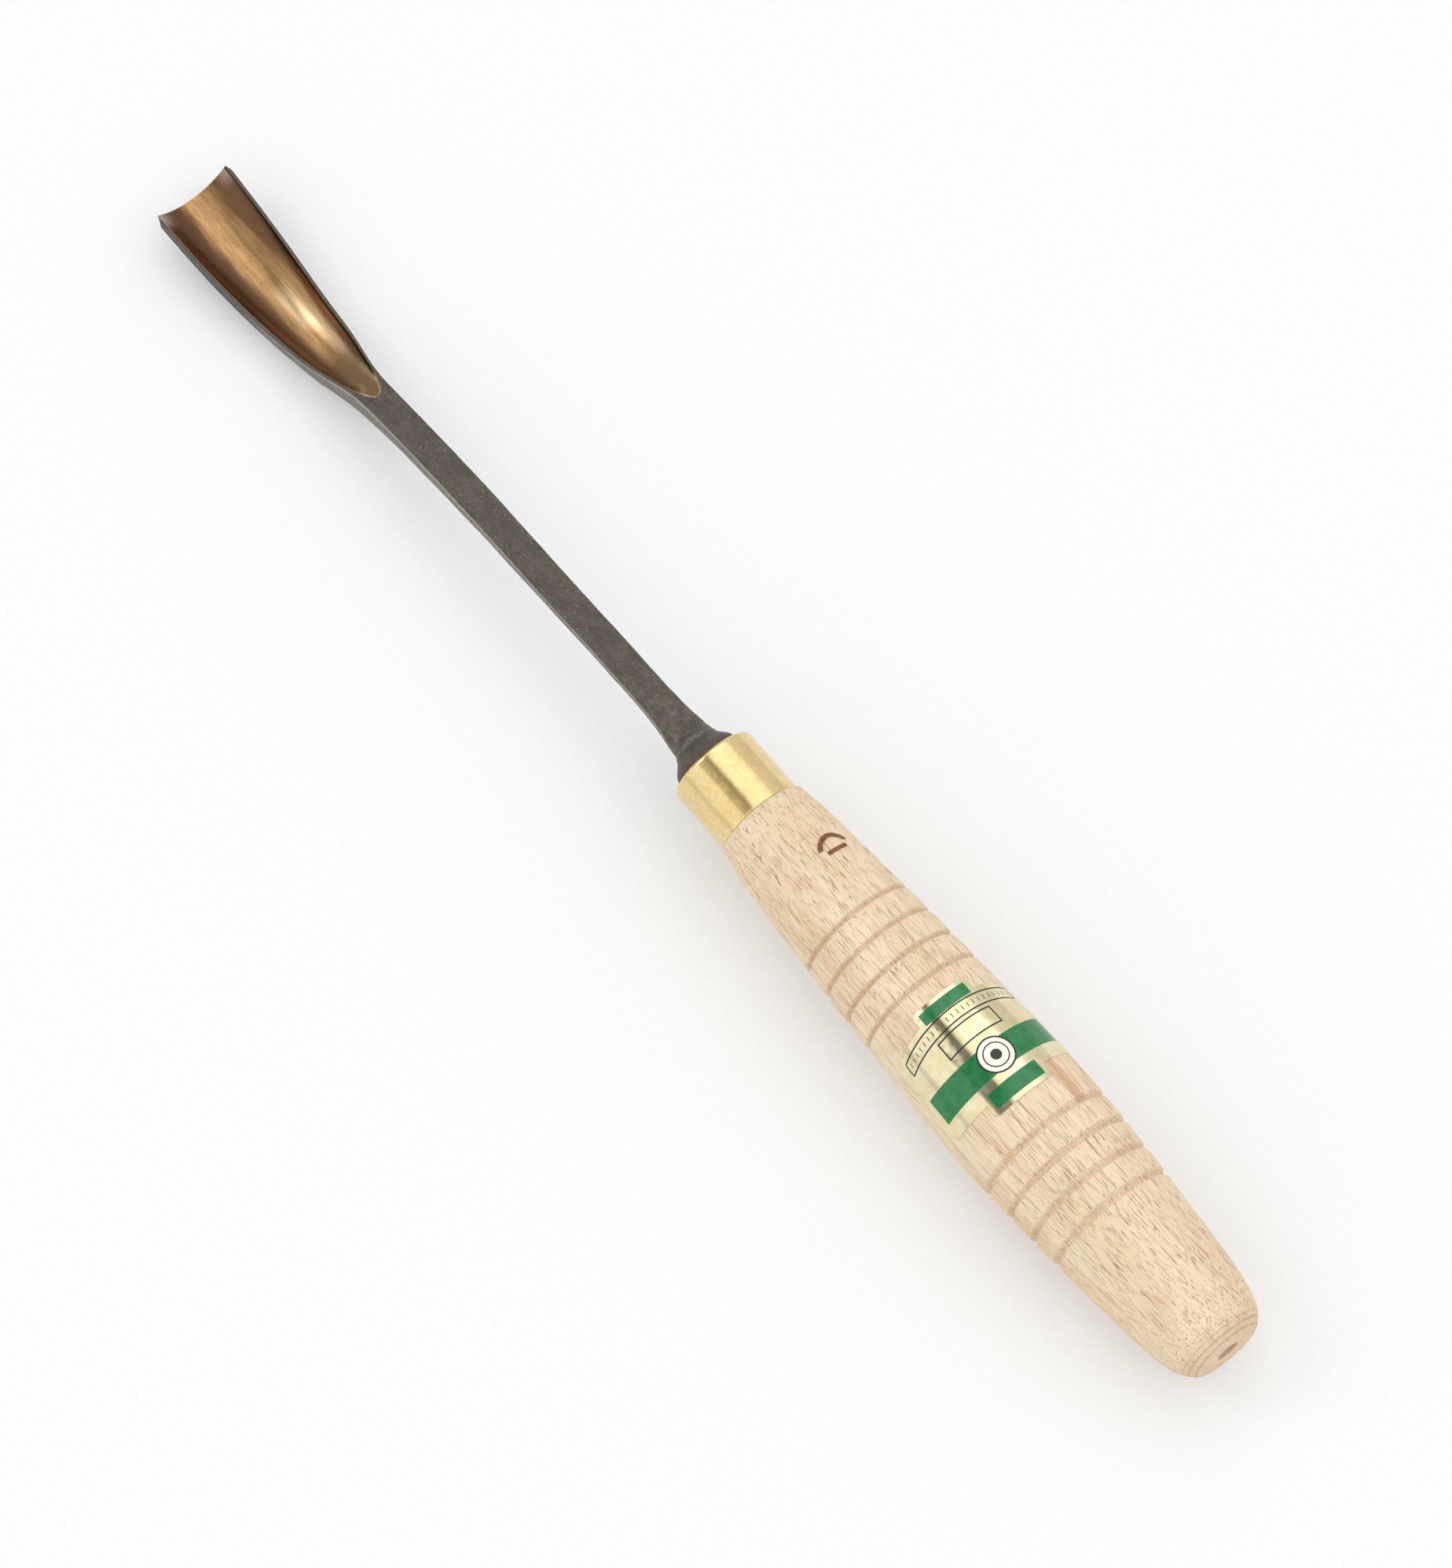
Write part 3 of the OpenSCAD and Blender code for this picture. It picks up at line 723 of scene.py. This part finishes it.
# ---------------------------------------------------------------- ferrule
def build_ferrule():
    """A brass tube with a rolled front lip, an eased rear edge and faint dents."""
    lip = np.radians(np.linspace(0, 90, 9))
    outline = [(-FERRULE_LEN, TENON_R), (-FERRULE_LEN, FERRULE_R - 0.16)]
    outline += [(-FERRULE_LEN + 0.03, FERRULE_R - 0.08), (-FERRULE_LEN + 0.1, FERRULE_R - 0.02)]
    outline += [(x, FERRULE_R) for x in np.linspace(-FERRULE_LEN + 0.25, -LIP_R - 0.3, 24)]
    outline += [(-LIP_R + LIP_R * math.sin(a), FERRULE_R - LIP_R + LIP_R * math.cos(a)) for a in lip]
    outline += [(x, TENON_R) for x in (0.0, -4.0, -8.0)]
    points, faces = lathe_ring(outline, 192)
    radius = np.hypot(points[:, 1], points[:, 2])
    outer = radius > TENON_R + 0.1
    dents = rough(points, 2.6, 2, 3.0)
    scale = np.where(outer, 1 + (0.012 * dents - 0.016) / radius, 1.0)
    points[:, 1:] *= scale[:, None]
    return make_piece("ferrule", points, faces, [brass()], sharp=40)


# ---------------------------------------------------------------- blade
# Points in half a section, and how many of them lie on each land beside the flute
HALF = 96
LAND = 10
TWO_HALVES = 2 * HALF

# The worn ridge on the bolster's shoulder: its place, width and height
RIDGE_AT = 4.1
RIDGE_WIDE = 0.28
RIDGE_HIGH = 0.13


def top_z(x):
    """Height of the blade's top face on its centre line, without the flute."""
    return BOLSTER_R * curve(TOP_LINE, x)


def under_z(x):
    """Height of the blade's underside on its centre line."""
    return BOLSTER_R * curve(UNDER_LINE, x)


def half_w(x):
    """Half of the blade's width."""
    return BOLSTER_R * curve(WIDTH_LINE, x)


def crown(x):
    """How far the middle of the top face stands above its edges: all of it on the round bolster."""
    if x < SHANK_FROM:
        round_h = (top_z(x) - under_z(x)) / 2
        join_h = (top_z(SHANK_FROM) - under_z(SHANK_FROM)) / 2
        return round_h + (SHANK_CROWN - join_h) * (x / SHANK_FROM) ** 2
    return curve(CROWN_LINE, x)


def half_chord(x):
    """Half of the flute's width from edge to edge, with a round end at the heel."""
    if x < HEEL:
        return 0.6 * half_w(x)
    if x < HEEL + HEEL_LEN:
        return HEEL_SPREAD * math.sqrt(x - HEEL + 0.02)
    return float(curve(CHORD_LINE, x))


def flute_depth(x):
    """Depth of the flute below its edges."""
    return 0.0 if x < HEEL else max(float(curve(DEPTH_LINE, x)), 0.002)


def skin_z(x, y):
    """Height of the top face at y, without the flute."""
    if x < SHANK_FROM:
        power = curve(SQUARE_LINE, x)
    else:
        power = SHANK_SQUARE + (TOP_SQUARE - SHANK_SQUARE) * min((x - SHANK_FROM) / TOP_SQUARE_LEN, 1)
    return top_z(x) - crown(x) + crown(x) * arch(y / half_w(x), power)


def flute_z(x, y, c, h):
    """Height of the flute at y: an arc through both edges, c from the middle, and h deep."""
    r = (c * c + h * h) / (2 * h)
    return skin_z(x, c) - np.sqrt(np.maximum(r * r - y * y, 0)) + r - h


def section(x):
    """One closed section of the blade: lower half from right to left, then upper half back."""
    w = float(half_w(x))
    c = half_chord(x)
    h = flute_depth(x)
    n = float(curve(SQUARE_LINE, x))
    k = np.arange(HALF + 1)
    a = np.pi * k / HALF
    share = np.clip((x - BLADE_LEN) / bevel_reach(a) + 1, 0, 1)
    corner = float(top_z(x) - crown(x))
    low = float(under_z(x))
    foot = max(corner - float(curve(FLANK_LINE, x)), low + 0.5)
    ca = np.cos(a)
    lower_y = w * np.sign(ca) * np.abs(ca) ** (2 / n)
    lower_z = foot - (foot - low) * np.maximum(np.sin(a), 0) ** (2 / n)
    lower_y[[0, -1]] = w, -w
    lower_z[[0, -1]] = corner
    if share.max() > 0:
        ey = c * ca
        ez = flute_z(x, ey, c, h) - EDGE_T
        lower_y = lower_y * (1 - share) + ey * share
        lower_z = lower_z * (1 - share) + ez * share
    arcs = HALF - 2 * LAND
    upper_y = c * np.cos(np.pi * (k - LAND) / arcs)
    near = k < LAND
    far = k > HALF - LAND
    upper_y[near] = c + (w - c) * np.cos(np.pi / 2 * k[near] / LAND)
    upper_y[far] = -c - (w - c) * np.cos(np.pi / 2 * (HALF - k[far]) / LAND)
    inside = (np.abs(upper_y) <= c + 1e-6) & (h > 0)
    upper_z = np.where(inside, flute_z(x, upper_y, c, max(h, 0.002)), skin_z(x, upper_y))
    end = share[0]
    if end > 0:
        rim_z = float(skin_z(x, c))
        land = near | far
        upper_y[land] = upper_y[land] * (1 - end) + np.sign(upper_y[land]) * c * end
        upper_z[land] = upper_z[land] * (1 - end) + rim_z * end
    lean = BOLSTER_LEAN * max(1 - x / LEAN_LEN, 0) ** 2
    ys = np.concatenate([lower_y, upper_y[HALF - 1:0:-1]]) + lean
    zs = np.concatenate([lower_z, upper_z[HALF - 1:0:-1]])
    return np.stack([np.full(len(ys), x), ys, zs], 1)


def rim_distance(x, ring):
    """Signed distance in mm from the flute's edge, positive inside the flute."""
    c = half_chord(x)
    if x < HEEL:
        return -np.hypot(HEEL - x, ring[:, 1])
    d = np.zeros(len(ring))
    upper = np.arange(HALF, TWO_HALVES + 1) % TWO_HALVES
    y = np.abs(ring[upper, 1])
    rise = HEEL_SPREAD * 0.5 / math.sqrt(max(x - HEEL, 0.02)) if x < HEEL + HEEL_LEN else 0.12
    d[upper] = (c - y) / math.sqrt(1 + rise * rise)
    lower = np.arange(1, HALF)
    d[lower] = -1 - np.minimum(lower, HALF - lower) * 0.1
    return d


def bevel_reach(turn):
    """Length of the bevel at an angle around the lower half: full in the middle, short at the corners."""
    return BEVEL_LEN * (CORNER_BEVEL + (1 - CORNER_BEVEL) * np.sin(turn))


def tang_ring(x, a):
    """A section of the tang: a square with eased corners, a from its middle to each side."""
    t = -np.pi * np.arange(TWO_HALVES) / HALF
    ty = a * np.sign(np.cos(t)) * np.abs(np.cos(t)) ** 0.25
    tz = a * np.sign(np.sin(t)) * np.abs(np.sin(t)) ** 0.25
    return np.stack([np.full(TWO_HALVES, x), ty, tz], 1)


def build_blade():
    """Tang, bolster, shank, pod and bevel as one closed skin of sections."""
    bolster = np.arange(0, 7.4, 0.2)
    flare = np.arange(7.4, 18, 0.5)
    shank = np.arange(18, HEEL - 1, 0.8)
    heel = [HEEL - 0.6, HEEL - 0.3, HEEL - 0.1, HEEL - 0.01]
    heel += list(HEEL + np.linspace(0, math.sqrt(HEEL_LEN), 34) ** 2)
    pod = np.arange(HEEL + HEEL_LEN + 0.4, BLADE_LEN - BEVEL_LEN - 0.2, 0.5)
    bevel = np.linspace(BLADE_LEN - BEVEL_LEN, BLADE_LEN, 26)
    stations = np.concatenate([bolster, flare, shank, heel, pod, bevel])
    tang = [(-TANG_LEN, 0.7), (-TANG_LEN + 1.5, 1.15), (-40, 1.62), (-20, 2.22), (0, 2.8)]
    sections = [section(x) for x in stations]
    rings = [tang_ring(x, a) for x, a in tang] + sections
    rims = [np.full(TWO_HALVES, -9.0) for _ in tang]
    rims += [rim_distance(x, ring) for x, ring in zip(stations, sections)]
    points = np.concatenate(rings)
    rims = np.concatenate(rims)
    places = np.concatenate([[r[0][0]] * TWO_HALVES for r in rings])
    order = np.tile(np.arange(TWO_HALVES), len(rings))

    flank = ((order <= HALF) & (places > 5.5)).astype(float)
    corner = (((order == 0) | (order == HALF)) & (places > 8)).astype(float)

    # hammered unevenness on the forged skin, none on the flute, the bevel or the bolster's seat
    forged = (places > 0.6) & (places < BLADE_LEN - BEVEL_LEN - 0.3)
    in_flute = (order > HALF + LAND - 1) & (order < TWO_HALVES - LAND + 1) & (places >= HEEL)
    fade = np.clip((places - 0.6) / 2, 0, 1) * np.clip((BLADE_LEN - BEVEL_LEN - places) / 4, 0, 1)
    chosen = np.where(forged & ~in_flute & (rims < -0.05))[0]
    p = points[chosen]
    mid_z = (top_z(p[:, 0]) + under_z(p[:, 0])) / 2
    out = np.stack([np.zeros(len(p)), p[:, 1], p[:, 2] - mid_z], 1)
    out /= np.maximum(np.linalg.norm(out, axis=1), 0.3)[:, None]
    edge_fade = np.clip((-rims[chosen] - 0.05) / 0.8, 0, 1)
    lumps = 0.075 * rough(p, 7.0, 2) + 0.022 * rough(p, 1.3, 3, 5.0) - 0.075
    lumps = np.minimum(lumps, -0.003)
    flare_share = np.clip((p[:, 0] - 4) / 2, 0, 1) * np.clip((22 - p[:, 0]) / 12, 0, 1)
    lumps += 0.07 * rough(p, 2.2, 2, 9.0) * flare_share
    lumps += RIDGE_HIGH * np.exp(-((p[:, 0] - RIDGE_AT) / RIDGE_WIDE) ** 2)
    points[chosen] += out * (lumps * fade[chosen] * edge_fade)[:, None]

    faces, slots = [], []
    total = len(rings)
    reach = bevel_reach(np.pi * (np.arange(HALF) + 0.5) / HALF)
    for r in range(total - 1):
        a = r * TWO_HALVES
        b = a + TWO_HALVES
        x0 = rings[r][0][0]
        for k in range(TWO_HALVES):
            n = (k + 1) % TWO_HALVES
            faces.append((a + k, a + n, b + n, b + k))
            upper = HALF + LAND <= k < TWO_HALVES - LAND
            if upper and x0 >= HEEL - 0.005:
                slots.append(1)
            elif k < HALF and x0 - BLADE_LEN + reach[k] > -0.01:
                slots.append(2)
            else:
                slots.append(0)
    # caps over the tang's end, which is turned over, and over the cutting edge
    for ring, flip in ((0, True), (total - 1, False)):
        base = ring * TWO_HALVES
        for k in range(HALF):
            across = base + (TWO_HALVES - k) % TWO_HALVES
            next_across = base + TWO_HALVES - k - 1
            quad = list(dict.fromkeys([base + k, base + k + 1, next_across, across]))
            faces.append(tuple(reversed(quad)) if flip else tuple(quad))
            slots.append(0 if flip else 2)
    return make_piece("blade", points, faces, [forge_scale(), flute_steel(), edge_steel()],
                      slots, sharp=38, marks={"rim": rims, "flank": flank, "corner": corner})


# ---------------------------------------------------------------- label
def corner_step(inset, radius):
    """How far a rounded corner stands back from its side, at an inset measured towards its tip."""
    return radius - math.sqrt(max(radius**2 - inset**2, 0))


def label_half(x):
    """Half width of the label around the handle, in radians: tab, panel with a bowed front, tab."""
    if x < PANEL_FROM:
        inset = max(0.0, TAB_CORNER - (x - LABEL_FROM))
        return TAB_HALF - corner_step(inset, TAB_CORNER) / LABEL_R
    if x > LABEL_TO - TAB_CORNER:
        inset = TAB_CORNER - (LABEL_TO - x)
        return TAB_HALF - corner_step(inset, TAB_CORNER) / LABEL_FRONT_R
    inset = max(0.0, PANEL_CORNER - (x - PANEL_FROM))
    bow = math.sqrt(max(1 - max(x - BOW_FROM, 0) / BOW_DEEP, 0))
    return max(PANEL_HALF * bow - corner_step(inset, PANEL_CORNER) / LABEL_R, TAB_HALF)


def build_label():
    """The foil: an outer and an inner skin over the handle, joined around the outline."""
    cols = 96
    quarter = np.linspace(0, math.pi / 2, 7)
    rows = np.concatenate([
        LABEL_FROM + TAB_CORNER * (1 - np.cos(quarter)),
        np.linspace(LABEL_FROM + 1.2, PANEL_FROM - 0.01, 8),
        PANEL_FROM + PANEL_CORNER * (1 - np.cos(quarter)),
        np.linspace(PANEL_FROM + 1.0, BOW_FROM - 0.1, 24),
        np.linspace(BOW_FROM, BOW_FROM + BOW_DEEP * 0.84, 26),
        np.linspace(BOW_FROM + BOW_DEEP * 0.86, LABEL_TO - 1.1, 4),
        LABEL_TO - TAB_CORNER + TAB_CORNER * np.sin(quarter)])
    share = np.linspace(-1, 1, cols + 1)
    points, faces = [], []
    for lift in (LABEL_T, LABEL_GAP):
        for x in rows:
            r = float(handle_r(x)) + lift
            angle = share * label_half(x)
            points += [(x, r * math.sin(t), r * math.cos(t)) for t in angle]
    count = len(rows)
    width = cols + 1

    def index(layer, row, col):
        return layer * count * width + row * width + col

    for row in range(count - 1):
        for col in range(cols):
            quad = [(row, col), (row, col + 1), (row + 1, col + 1), (row + 1, col)]
            faces.append(tuple(index(0, *corner) for corner in reversed(quad)))
            faces.append(tuple(index(1, *corner) for corner in quad))
    loop = [(0, c) for c in range(width)] + [(r, cols) for r in range(1, count)]
    loop += [(count - 1, c) for c in range(cols - 1, -1, -1)] + [(r, 0) for r in range(count - 2, 0, -1)]
    for a, b in zip(loop, loop[1:] + loop[:1]):
        faces.append((index(0, *a), index(0, *b), index(1, *b), index(1, *a)))
    return make_piece("label", points, faces, [foil()], sharp=40)


# ---------------------------------------------------------------- build and attach
for piece, slot in (
    (build_handle(), "beech"),
    (build_ferrule(), "ferrule_brass"),
    (build_blade(), "forged_steel"),
    (build_label(), "foil_label"),
):
    node = piece.name.split(".")[0]
    piece.name = "gouge_" + node
    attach(piece, "root")
    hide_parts(node)

# ---------------------------------------------------------------- floor, light and camera
scene = bpy.context.scene
scene.view_settings.view_transform = "Standard"
scene.view_settings.look = "None"

bpy.ops.mesh.primitive_plane_add(size=6, location=(0, 0, 0))
floor = bpy.context.object
floor.name = "floor"
floor.data.materials.append(floor_paper())

# Strengths of the room, of the dim gap between the softboxes, of the wall beyond the cutting edge,
# of the low walls on both sides, of the two softboxes, and of the lamp that the flute mirrors
AMBIENT = 0.875
GAP = 0.2
FAR_END = 0.5
LOW_WALLS = 0.76
BOX_RIGHT = 0.62
BOX_LEFT = 0.24
HOT = 2.4
HOT_DIRECTION = (0.53, 0.42, 0.74)

# Places in degrees: around the tool from overhead, and along it from the middle
RIGHT_SPAN = (-46, 5)
LEFT_SPAN = (36, 80)
GAP_SPAN = (9, 38)
RUN_SPAN = (-58, 45)
RUN_SOFT = 6
HOT_OUTER = 17
HOT_INNER = 7


def studio_world():
    """Two long softboxes with a dim gap between them, pale walls, darker low down, and one hot lamp."""
    world = bpy.data.worlds.new("studio")
    world.use_nodes = True
    scene.world = world
    tree = world.node_tree
    back = tree.nodes["Background"]

    def math_node(operation, a, b=0.0):
        n = tree.nodes.new("ShaderNodeMath")
        n.operation = operation
        for socket, value in zip(n.inputs, (a, b)):
            if isinstance(value, bpy.types.NodeSocket):
                tree.links.new(value, socket)
            else:
                socket.default_value = value
        return n.outputs[0]

    def step(value, low, high):
        n = tree.nodes.new("ShaderNodeMapRange")
        n.interpolation_type = "SMOOTHSTEP"
        tree.links.new(value, n.inputs["Value"])
        n.inputs["From Min"].default_value = low
        n.inputs["From Max"].default_value = high
        return n.outputs["Result"]

    def lit(total, mask, strength):
        return math_node("ADD", total, math_node("MULTIPLY", mask, strength))

    def dimmed(total, mask, left):
        return math_node("SUBTRACT", total, math_node("MULTIPLY", mask, AMBIENT - left))

    direction = tree.nodes.new("ShaderNodeTexCoord").outputs["Generated"]
    xyz = tree.nodes.new("ShaderNodeSeparateXYZ")
    tree.links.new(direction, xyz.inputs[0])
    x, y, z = xyz.outputs
    degrees = math_node("MULTIPLY", math_node("ARCTAN2", y, z), 180 / math.pi)
    run = math_node("MULTIPLY", math_node("ARCSINE", x), 180 / math.pi)
    near, far = RUN_SPAN
    length = math_node("MULTIPLY", step(run, near - RUN_SOFT, near + RUN_SOFT),
                       step(run, far + RUN_SOFT, far - RUN_SOFT))

    def box(span, soft):
        low, high = span
        side = math_node("MULTIPLY", step(degrees, low - soft, low + soft),
                         step(degrees, high + soft, high - soft))
        return math_node("MULTIPLY", side, length)

    total = math_node("ADD", math_node("MULTIPLY", box(RIGHT_SPAN, 9), BOX_RIGHT), AMBIENT)
    total = lit(total, box(LEFT_SPAN, 4), BOX_LEFT)
    total = dimmed(total, math_node("MULTIPLY", box(GAP_SPAN, 3), step(run, 8, 11.5)), GAP)
    total = dimmed(total, math_node("MAXIMUM", step(degrees, -56, -88), step(degrees, 72, 90)), LOW_WALLS)
    total = dimmed(total, step(run, 50, 62), FAR_END)
    hot = tree.nodes.new("ShaderNodeVectorMath")
    hot.operation = "DOT_PRODUCT"
    tree.links.new(direction, hot.inputs[0])
    hot.inputs[1].default_value = Vector(HOT_DIRECTION).normalized()
    spot = step(hot.outputs["Value"], math.cos(math.radians(HOT_OUTER)), math.cos(math.radians(HOT_INNER)))
    total = lit(total, spot, HOT)
    tree.links.new(total, back.inputs["Strength"])
    back.inputs["Color"].default_value = (1.0, 1.0, 0.998, 1.0)


studio_world()

# Camera: where it stands seen from the tool, how it is rolled, and what it looks at
CAMERA_AZ = math.radians(-126.952)
CAMERA_EL = math.radians(67.936)
CAMERA_ROLL = math.radians(-2.577)
CAMERA_FAR = 1.5
CAMERA_LENS = 211.1
LOOK_AT = MOUTH + Vector((-4.11, 0.51, -0.11)) * MM

camera_data = bpy.data.cameras.new("camera")
camera_data.lens = CAMERA_LENS
camera_data.clip_end = 20
camera = bpy.data.objects.new("camera", camera_data)
scene.collection.objects.link(camera)
back = Vector((math.sin(CAMERA_AZ) * math.cos(CAMERA_EL), -math.cos(CAMERA_AZ) * math.cos(CAMERA_EL),
               math.sin(CAMERA_EL)))
level = Vector((0, 0, 1)).cross(back).normalized()
upright = back.cross(level)
right = level * math.cos(CAMERA_ROLL) + upright * math.sin(CAMERA_ROLL)
turn = Matrix((right, back.cross(right), back)).transposed().to_4x4()
camera.matrix_world = Matrix.Translation(LOOK_AT + back * CAMERA_FAR) @ turn
scene.camera = camera
